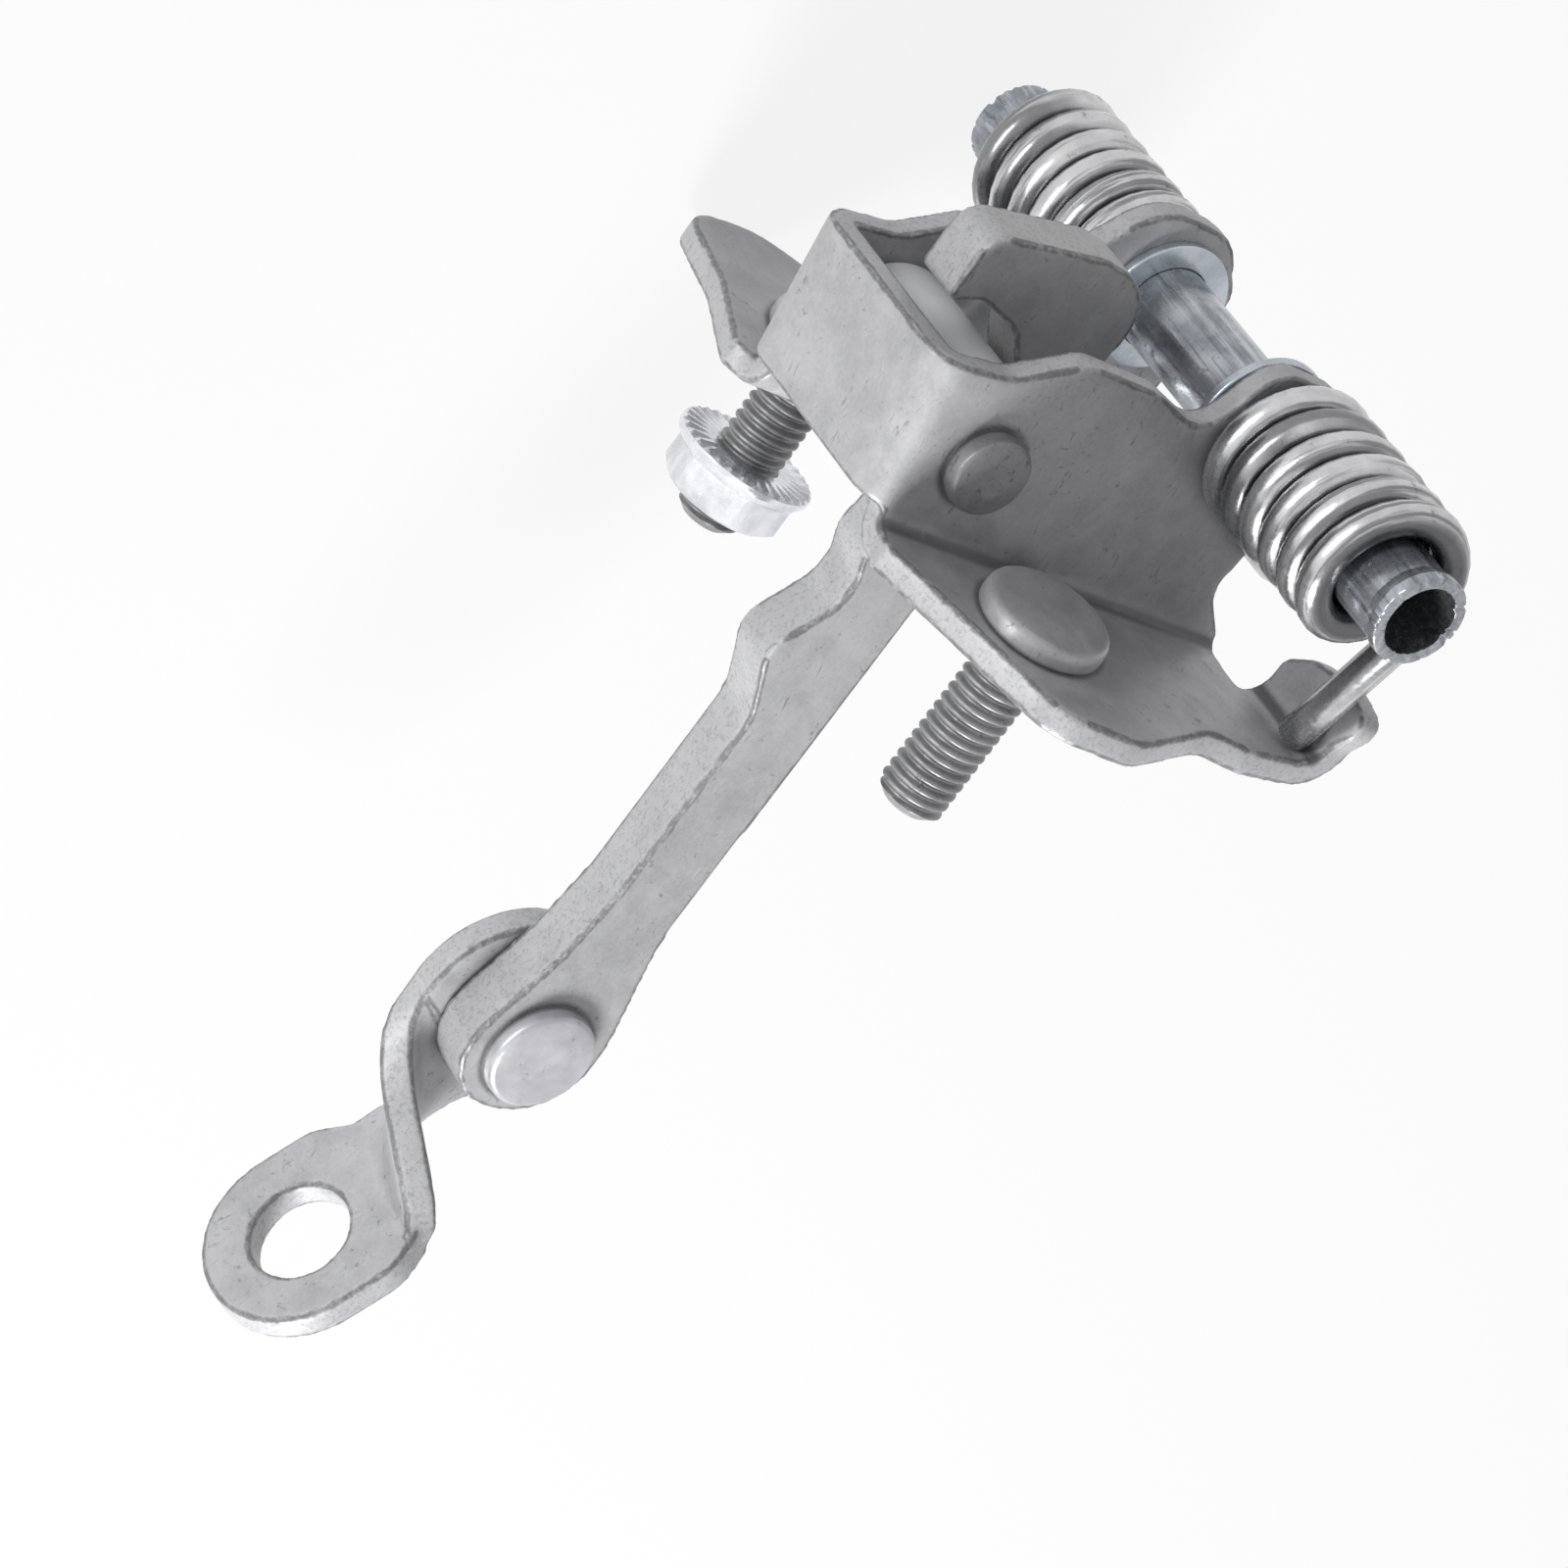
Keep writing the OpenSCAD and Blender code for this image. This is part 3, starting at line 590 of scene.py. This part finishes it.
def upset_head(low, r, h, edge):
    """Outline of a hammered head on a shank, from the face it sits on to its crown."""
    return soft([(0.0, low, 0), (r - 0.15, low, 0.1), (r, low + 0.4, 0.3), (r - 0.1, low + h - 0.25, edge),
                 (r * 0.45, low + h, 2.0), (0.0, low + h - 0.03, 0)], 5, False)


def below(profile):
    """The same outline seen from the other side."""
    return [(r, -h) for r, h in profile]


def shank(r, low, high, centre):
    return lathe([(0, low), (r, low), (r, high), (0, high)], centre, 48, False)


piece("nylon_roller", turned_ring(ROLLER_BORE, ROLLER_R, -ROLLER_HALF, ROLLER_HALF, 0.25, 0.7, 5, ROLLER),
      "roller", NYLON_MAT, ["roller"])

pin_head = upset_head(HALF_OUT, PIN_HEAD_R, PIN_HEAD_H, 0.45)
pin_end = HALF_OUT + 0.8
pin = join(lathe(pin_head, ROLLER, 72, False), lathe(below(pin_head), ROLLER, 72, False),
           shank(PIN_R, -pin_end, pin_end, ROLLER))
piece("roller_pin_upset", pin, "housing", PIN_MAT, ["roller_pin"])

near_cap = lathe(upset_head(ARM_FACE, RIVET_HEAD_R, RIVET_HEAD_H, 0.6), EYE, 84, False)
far_cap = lathe(below(upset_head(HINGE_FACE, RIVET_HEAD_R, RIVET_HEAD_H, 0.5)), EYE, 84, False)
rivet = join(near_cap, far_cap, shank(RIVET_R, -HINGE_FACE - 0.7, ARM_FACE + 0.8, EYE))
piece("hinge_rivet", rivet, "arm", RIVET_MAT, ["pivot_rivet"])

rings = [turned_ring(WASHER_BORE, WASHER_R, s * (HALF_IN - WASHER_T), s * HALF_IN, 0.1, 0.2, 3, TUBE)
         for s in (1, -1)]
piece("zinc_washers", join(*rings), "housing", WASHER_MAT, ["spacer_washers"])


def tube_profile():
    """The tube's wall with flared ends."""
    corners = [(TUBE_BORE, -TUBE_HALF, 0.12)]
    for s in (-1, 1):
        flare = [(TUBE_END_R, s * TUBE_HALF, 0.22), (TUBE_END_R, s * (TUBE_HALF - 1.0), 0.5),
                 (TUBE_R, s * (TUBE_HALF - 2.0), 0.8)]
        corners += flare if s < 0 else flare[::-1]
    return soft(corners + [(TUBE_BORE, TUBE_HALF, 0.12)], 4)


def rough_ends(verts):
    """The cropped ends of the tube: shallow radial nicks in the rim and a slightly uneven length."""
    reach = 1.3
    out = []
    for x, y, z in verts:
        near = max(0.0, (abs(z) - (TUBE_HALF - reach)) / reach)
        if near > 0:
            a = math.atan2(y - TUBE[1], x - TUBE[0])
            way = Vector((math.cos(a) * 9, math.sin(a) * 9, 4.0 if z > 0 else 9.0))
            nick = max(0.0, noise.noise(way) - 0.05)
            shrink = 1 - 0.085 * nick * near
            x = TUBE[0] + (x - TUBE[0]) * shrink
            y = TUBE[1] + (y - TUBE[1]) * shrink
            z -= math.copysign(0.35 * nick * near, z)
        out.append((x, y, z))
    return out


def from_tube(point):
    """Distance in mm from the tube's axis."""
    return math.hypot(point.x / MM - TUBE[0], point.y / MM - TUBE[1])


def inner_value(point):
    """Painted shade: 1 in the bore and part of it on the cropped end faces."""
    if from_tube(point) < TUBE_BORE + 0.03:
        return 1.0
    return 0.45 if abs(point.z / MM) > TUBE_HALF - 0.12 else 0.0


tube_verts, tube_faces = lathe(tube_profile(), TUBE, 120)
tube = piece("spring_tube_drawn", (rough_ends(tube_verts), tube_faces), "housing", TUBE_MAT,
             ["spring_tube"])
add_values(tube.data, "inner", [inner_value(v.co) for v in tube.data.vertices])

# Spring: a middle loop between the side plates, hooked over the ears to a coil outside each, in mm

WIRE_R = 1.5
COIL_R = 5.8
PITCH = 3.05
START = -22.0
TURNS = 5
EAR_R = 6.6
EAR_GAP = 0.3
SWEEP = START + 270 + 360 * TURNS
HOOK_Z = HALF_OUT + 0.1 + WIRE_R
HOOK_Y = TUBE[1] + EAR_R + EAR_GAP + WIRE_R
TANGENT = math.radians(START)
HOOK_RUN = (HOOK_Y - TUBE[1] - COIL_R * math.sin(TANGENT)) / math.cos(TANGENT)
HOOK_X = TUBE[0] + COIL_R * math.cos(TANGENT) - HOOK_RUN * math.sin(TANGENT)
LOOP_Y = 6.45
LOOP_X = HOOK_X - 1
LOOP_Z = HALF_IN - 3.3
BEND_R = 2.2
LEG_BEND_R = 3.0
LEG_TIP = Vector((-3.5, 26.35, 24.2))
SIDES = 20


def coil_point(t):
    a = math.radians(START - SWEEP * t)
    rise = PITCH * SWEEP / 360 * t
    return Vector((TUBE[0] + COIL_R * math.cos(a), TUBE[1] + COIL_R * math.sin(a), HOOK_Z + rise))


def route(corners):
    """Points of a line through corners (point, rounding)."""
    out = [corners[0][0]]
    for i in range(1, len(corners) - 1):
        out.extend(fillet(corners[i - 1][0], corners[i][0], corners[i + 1][0], corners[i][1], 8))
    out.append(corners[-1][0])
    return out


def half_loop(split):
    return route([
        (Vector((LOOP_X, LOOP_Y, 0)), 0),
        (Vector((LOOP_X, LOOP_Y, LOOP_Z)), BEND_R),
        (Vector((HOOK_X, HOOK_Y, LOOP_Z)), BEND_R),
        (split, 0)])


def coil_and_leg(split):
    steps = round(SWEEP / 12)
    end = coil_point(1)
    points = route([(split, 0), (Vector((HOOK_X, HOOK_Y, HOOK_Z)), BEND_R), (coil_point(0), 0)])
    points += [coil_point(i / steps) for i in range(1, steps)]
    return points + route([(end, 0), (end + Vector((1.9, 0.0, 0.0)), LEG_BEND_R), (LEG_TIP, 0)])


def sweep(points, radius, last_round):
    """A round bar along a route, its ring carried without twist, with a rounded last end if asked."""
    n = len(points)
    way = [unit(points[min(i + 1, n - 1)] - points[max(i - 1, 0)]) for i in range(n)]
    side = unit(way[0].cross(Vector((0.3, 0.5, 1))))
    rings = []
    for i in range(n):
        side = unit(side - way[i] * side.dot(way[i]))
        rings.append((points[i], side, way[i].cross(side), radius))
    if last_round:
        c, u, w, r = rings[-1]
        rings += [(c + way[-1] * d, u, w, radius * k) for d, k in ((0.2, 0.85), (0.28, 0.6))]
    verts = []
    for c, u, w, r in rings:
        for k in range(SIDES):
            a = 2 * math.pi * k / SIDES
            verts.append(tuple(c + (u * math.cos(a) + w * math.sin(a)) * r))
    rows = len(rings)
    faces = grid_faces(rows, SIDES)
    faces.append(tuple(range(SIDES - 1, -1, -1)))
    faces.append(tuple(range((rows - 1) * SIDES, rows * SIDES)))
    return verts, faces


def turn_gap_shade(point):
    """Painted shade: 1 in the gap between two turns of a coil, falling to 0 on the crown of the wire."""
    r = from_tube(point)
    if not (12.2 < abs(point.z / MM) < 31.7 and r < COIL_R + 1.7):
        return 0.0
    gap = 1.0 - min(1.0, max(0.0, (r - COIL_R - 0.5) / 0.5))
    flank = 1.0 - min(1.0, max(0.0, (r - COIL_R - 0.3) / 1.15))
    return max(gap, 0.6 * flank)


def wire_piece(name, points, last_round, nodes):
    """One length of the spring; its values along and around, which place the painted reflection streaks, run
    with the drawn surface.
    """
    wire = piece(name, sweep(points, WIRE_R, last_round), "housing", WIRE_MAT, nodes)
    count = len(wire.data.vertices)
    # values for the painted shade between the turns
    add_values(wire.data, "deep", [turn_gap_shade(v.co) for v in wire.data.vertices])
    add_values(wire.data, "along", [i // SIDES * 0.07 for i in range(count)])
    add_values(wire.data, "around", [math.sin(math.pi * (i % SIDES) / SIDES) * 5.0 for i in range(count)])
    return wire


def mirrored(points):
    return [Vector((p.x, p.y, -p.z)) for p in points]


split = Vector((HOOK_X, HOOK_Y, (LOOP_Z + HOOK_Z) / 2))
loop = half_loop(split)
coil = coil_and_leg(split)
wire_piece("near_coil", coil, True, ["torsion_spring"])
wire_piece("far_coil", mirrored(coil), True, [])
middle = wire_piece("middle_loop", mirrored(loop)[:0:-1] + loop, False, [])
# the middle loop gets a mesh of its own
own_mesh(middle)

# Studs and nut

THREAD_PITCH = 1.0
THREAD_DEPTH = 0.56
THREAD_START = 0.8
COLLAR = 0.28
RELIEF = 0.5


def stud_radius(x, turn):
    """Radius of a stud at x and at a share of the way around: collar, relief, thread, chamfered tip."""
    root = STUD_R - RELIEF if x > 0.05 else STUD_R + COLLAR
    chamfer = STUD_TIP - 0.8
    cap = STUD_R if x < chamfer else STUD_R - 1.0 * (x - chamfer) / 0.8
    fade = max(0.0, min(1.0, (x - THREAD_START) / 0.5))
    w = abs(2 * ((x / THREAD_PITCH - turn) % 1.0) - 1)
    w = max(0.0, min(1.0, (w - 0.12) / 0.72))
    w = w * w * (3 - 2 * w)
    crest = root + (STUD_R - THREAD_DEPTH * (1 - w) - root) * fade
    return min(crest, max(cap, root if x < 0.05 else 0.0))


def stud(z, cols=48, per=12):
    """The threaded shank of the stud at height z, seated in the flange."""
    low = -SHEET - 0.1
    rows = int((STUD_TIP - low) * per) + 1
    verts = []
    for i in range(rows):
        x = low + (STUD_TIP - low) * i / (rows - 1)
        for j in range(cols):
            a = 2 * math.pi * j / cols
            r = stud_radius(x, j / cols)
            verts.append((x, r * math.cos(a), z + r * math.sin(a)))
    faces = grid_faces(rows, cols)
    for x, row in ((low, 0), (STUD_TIP + 0.06, rows - 1)):
        c = len(verts)
        verts.append((x, 0, z))
        for j in range(cols):
            faces.append((row * cols + j, row * cols + (j + 1) % cols, c))
    return verts, faces


def oval_head(z, turn):
    """Pressed oval head with a rolled edge and a low crown, seated on the back of the flange."""
    outline = [(0.25, 0.0), (0.04, 0.12), (0.0, 0.35), (0.0, 1.0), (0.06, 1.35), (0.2, 1.6), (0.42, 1.76),
               (0.8, 1.84), (1.8, 1.88), (3.6, 1.9), (5.2, 1.9)]
    cols = 96
    c, s = math.cos(turn), math.sin(turn)
    verts = []
    for inset, h in outline:
        for j in range(cols):
            a = 2 * math.pi * j / cols
            u = (OVAL_LONG - inset) * math.cos(a)
            v = (OVAL_WIDE - inset) * math.sin(a)
            verts.append((-SHEET - h, u * c - v * s, z + u * s + v * c))
    faces = grid_faces(len(outline), cols)
    faces.append(tuple(range(cols)))
    faces.append(tuple(range((len(outline) - 1) * cols, len(outline) * cols)))
    return verts, faces


for side, name, node in ((1, "near", "mounting_stud_a"), (-1, "far", "mounting_stud_b")):
    piece(name + "_stud_thread", stud(side * STUD_Z), "housing", THREAD_MAT, [node], 70)
    piece(name + "_stud_head", oval_head(side * STUD_Z, -OVAL_TURN), "housing", HEAD_MAT,
          [], 60)


def hexagon(a):
    """Distance from the nut's axis to its flats in the direction a."""
    turn = math.radians(51)
    return NUT_HALF / math.cos((a - turn) % (math.pi / 3) - math.pi / 6)


def serration(j):
    """Height of the flange's teeth at column j, one tooth every four columns."""
    return 0.22 * abs(((j / 4.0) % 1.0) * 2 - 1)


def nut_rows(a, j):
    """The nut's section in the direction a: bore, serrated face, flange, hexagon and top, as (x, r)."""
    flat = hexagon(a)
    tooth = serration(j)
    top = NUT_FACE + 5.0
    bore = 2.55
    return [(NUT_FACE + 3.0, bore),
            (NUT_FACE + 0.35, bore),
            (NUT_FACE + 0.02, 3.15),
            (NUT_FACE + 0.02, 4.0),
            (NUT_FACE - 0.02 + 0.3 * tooth, 4.5),
            (NUT_FACE - 0.02 + tooth, 6.2),
            (NUT_FACE + 0.30, NUT_FLANGE_R - 0.02),
            (NUT_FACE + 0.75, NUT_FLANGE_R),
            (NUT_FACE + 1.05, NUT_FLANGE_R - 0.14),
            (NUT_FACE + 1.60, max(5.75, min(flat + 0.15, 6.0))),
            (NUT_FACE + 1.85, max(flat, 5.2)),
            (NUT_FACE + 2.15, flat),
            (top - max(0.0, flat - 5.02) * 0.62 - 0.16, flat),
            (top - 0.04, min(flat, 5.02) - 0.14),
            (top, 4.6),
            (top, 3.5),
            (top - 0.4, 2.95),
            (top - 0.5, bore)]


def flange_nut():
    """Hex nut on a serrated flange, about the far stud."""
    cols = 120
    angles = [2 * math.pi * j / cols for j in range(cols)]
    sections = [nut_rows(a, j) for j, a in enumerate(angles)]
    verts = []
    for row in zip(*sections):
        for a, (x, r) in zip(angles, row):
            verts.append((x, r * math.cos(a), -STUD_Z + r * math.sin(a)))
    return verts, grid_faces(len(sections[0]), cols, True)


piece("serrated_flange_nut", flange_nut(), "housing", NUT_MAT, ["flange_nut"], 28)

# Floor, world, lamps, camera

FLOOR_HALF = 3
FLOOR_GAP = 0.0003
FLOOR_GLOW = 0.86
WORLD_DIFFUSE = 0.20
scene = bpy.context.scene
scene.view_settings.view_transform = "Standard"


def seen_by(tree):
    """1 for rays from the camera and for mirrored and refracted ones."""
    lp = tree.nodes.new("ShaderNodeLightPath")
    a = tree.nodes.new("ShaderNodeMath")
    a.operation = "MAXIMUM"
    b = tree.nodes.new("ShaderNodeMath")
    b.operation = "MAXIMUM"
    tree.links.new(lp.outputs["Is Camera Ray"], a.inputs[0])
    tree.links.new(lp.outputs["Is Glossy Ray"], a.inputs[1])
    tree.links.new(a.outputs[0], b.inputs[0])
    tree.links.new(lp.outputs["Is Transmission Ray"], b.inputs[1])
    return b.outputs[0]


def floor_look():
    """Pale paper that keeps its shadows and is nearly white for the rays that see it."""
    material = bpy.data.materials.new("studio_floor_look")
    material.use_nodes = True
    tree = material.node_tree
    tree.nodes.clear()
    diffuse = tree.nodes.new("ShaderNodeBsdfDiffuse")
    diffuse.inputs["Color"].default_value = (0.92, 0.92, 0.92, 1)
    glow = tree.nodes.new("ShaderNodeEmission")
    glow.inputs["Strength"].default_value = 1.0
    share = tree.nodes.new("ShaderNodeMath")
    share.operation = "MULTIPLY"
    tree.links.new(seen_by(tree), share.inputs[0])
    share.inputs[1].default_value = FLOOR_GLOW
    blend = tree.nodes.new("ShaderNodeMixShader")
    tree.links.new(share.outputs[0], blend.inputs[0])
    tree.links.new(diffuse.outputs[0], blend.inputs[1])
    tree.links.new(glow.outputs[0], blend.inputs[2])
    out = tree.nodes.new("ShaderNodeOutputMaterial")
    tree.links.new(blend.outputs[0], out.inputs["Surface"])
    return material


def studio_floor(height):
    corners = [(x * FLOOR_HALF, y * FLOOR_HALF, height) for x, y in ((-1, -1), (1, -1), (1, 1), (-1, 1))]
    mesh = bpy.data.meshes.new("studio_floor")
    mesh.from_pydata(corners, [], [(0, 1, 2, 3)])
    mesh.materials.append(floor_look())
    obj = bpy.data.objects.new("studio_floor", mesh)
    scene.collection.objects.link(obj)


def studio_world():
    """White for the rays that see it and dim as a light."""
    world = bpy.data.worlds.new("studio")
    world.use_nodes = True
    scene.world = world
    tree = world.node_tree
    tree.nodes.clear()
    sky = tree.nodes.new("ShaderNodeBackground")
    sky.inputs["Color"].default_value = (1, 1, 1, 1)
    level = tree.nodes.new("ShaderNodeMath")
    level.operation = "MULTIPLY_ADD"
    tree.links.new(seen_by(tree), level.inputs[0])
    level.inputs[1].default_value = 1 - WORLD_DIFFUSE
    level.inputs[2].default_value = WORLD_DIFFUSE
    tree.links.new(level.outputs[0], sky.inputs["Strength"])
    out = tree.nodes.new("ShaderNodeOutputWorld")
    tree.links.new(sky.outputs[0], out.inputs["Surface"])


def lamp(name, place, target, size, energy):
    data = bpy.data.lights.new(name, "AREA")
    data.shape = "RECTANGLE"
    data.size = size[0]
    data.size_y = size[1]
    data.energy = energy
    obj = bpy.data.objects.new(name, data)
    scene.collection.objects.link(obj)
    obj.location = place
    obj.rotation_euler = (Vector(target) - Vector(place)).to_track_quat("-Z", "Y").to_euler()


def camera(name, place, right, up, lens):
    cam = bpy.data.cameras.new(name)
    cam.lens = lens
    cam.sensor_width = 36.0
    cam.sensor_fit = "HORIZONTAL"
    cam.clip_start = 0.01
    cam.clip_end = 20.0
    obj = bpy.data.objects.new(name, cam)
    scene.collection.objects.link(obj)
    view = Matrix((right, up, right.cross(up))).transposed().to_4x4()
    view.translation = place
    obj.matrix_world = view
    scene.camera = obj


centre = (0.02, 0.005, 0.0)
studio_floor(cad_box[0][2] - FLOOR_GAP)
studio_world()
lamp("key", (-0.06, -0.64, 0.04), centre, (0.44, 0.12), 2.0)
lamp("side", (0.58, -0.06, 0.39), centre, (0.24, 0.20), 5.2)
camera("photo_view", Vector((-0.1502, -0.3460, 0.3451)),
       Vector((-0.5681, 0.7032, 0.4275)), Vector((-0.7500, -0.2287, -0.6206)), 144.8)
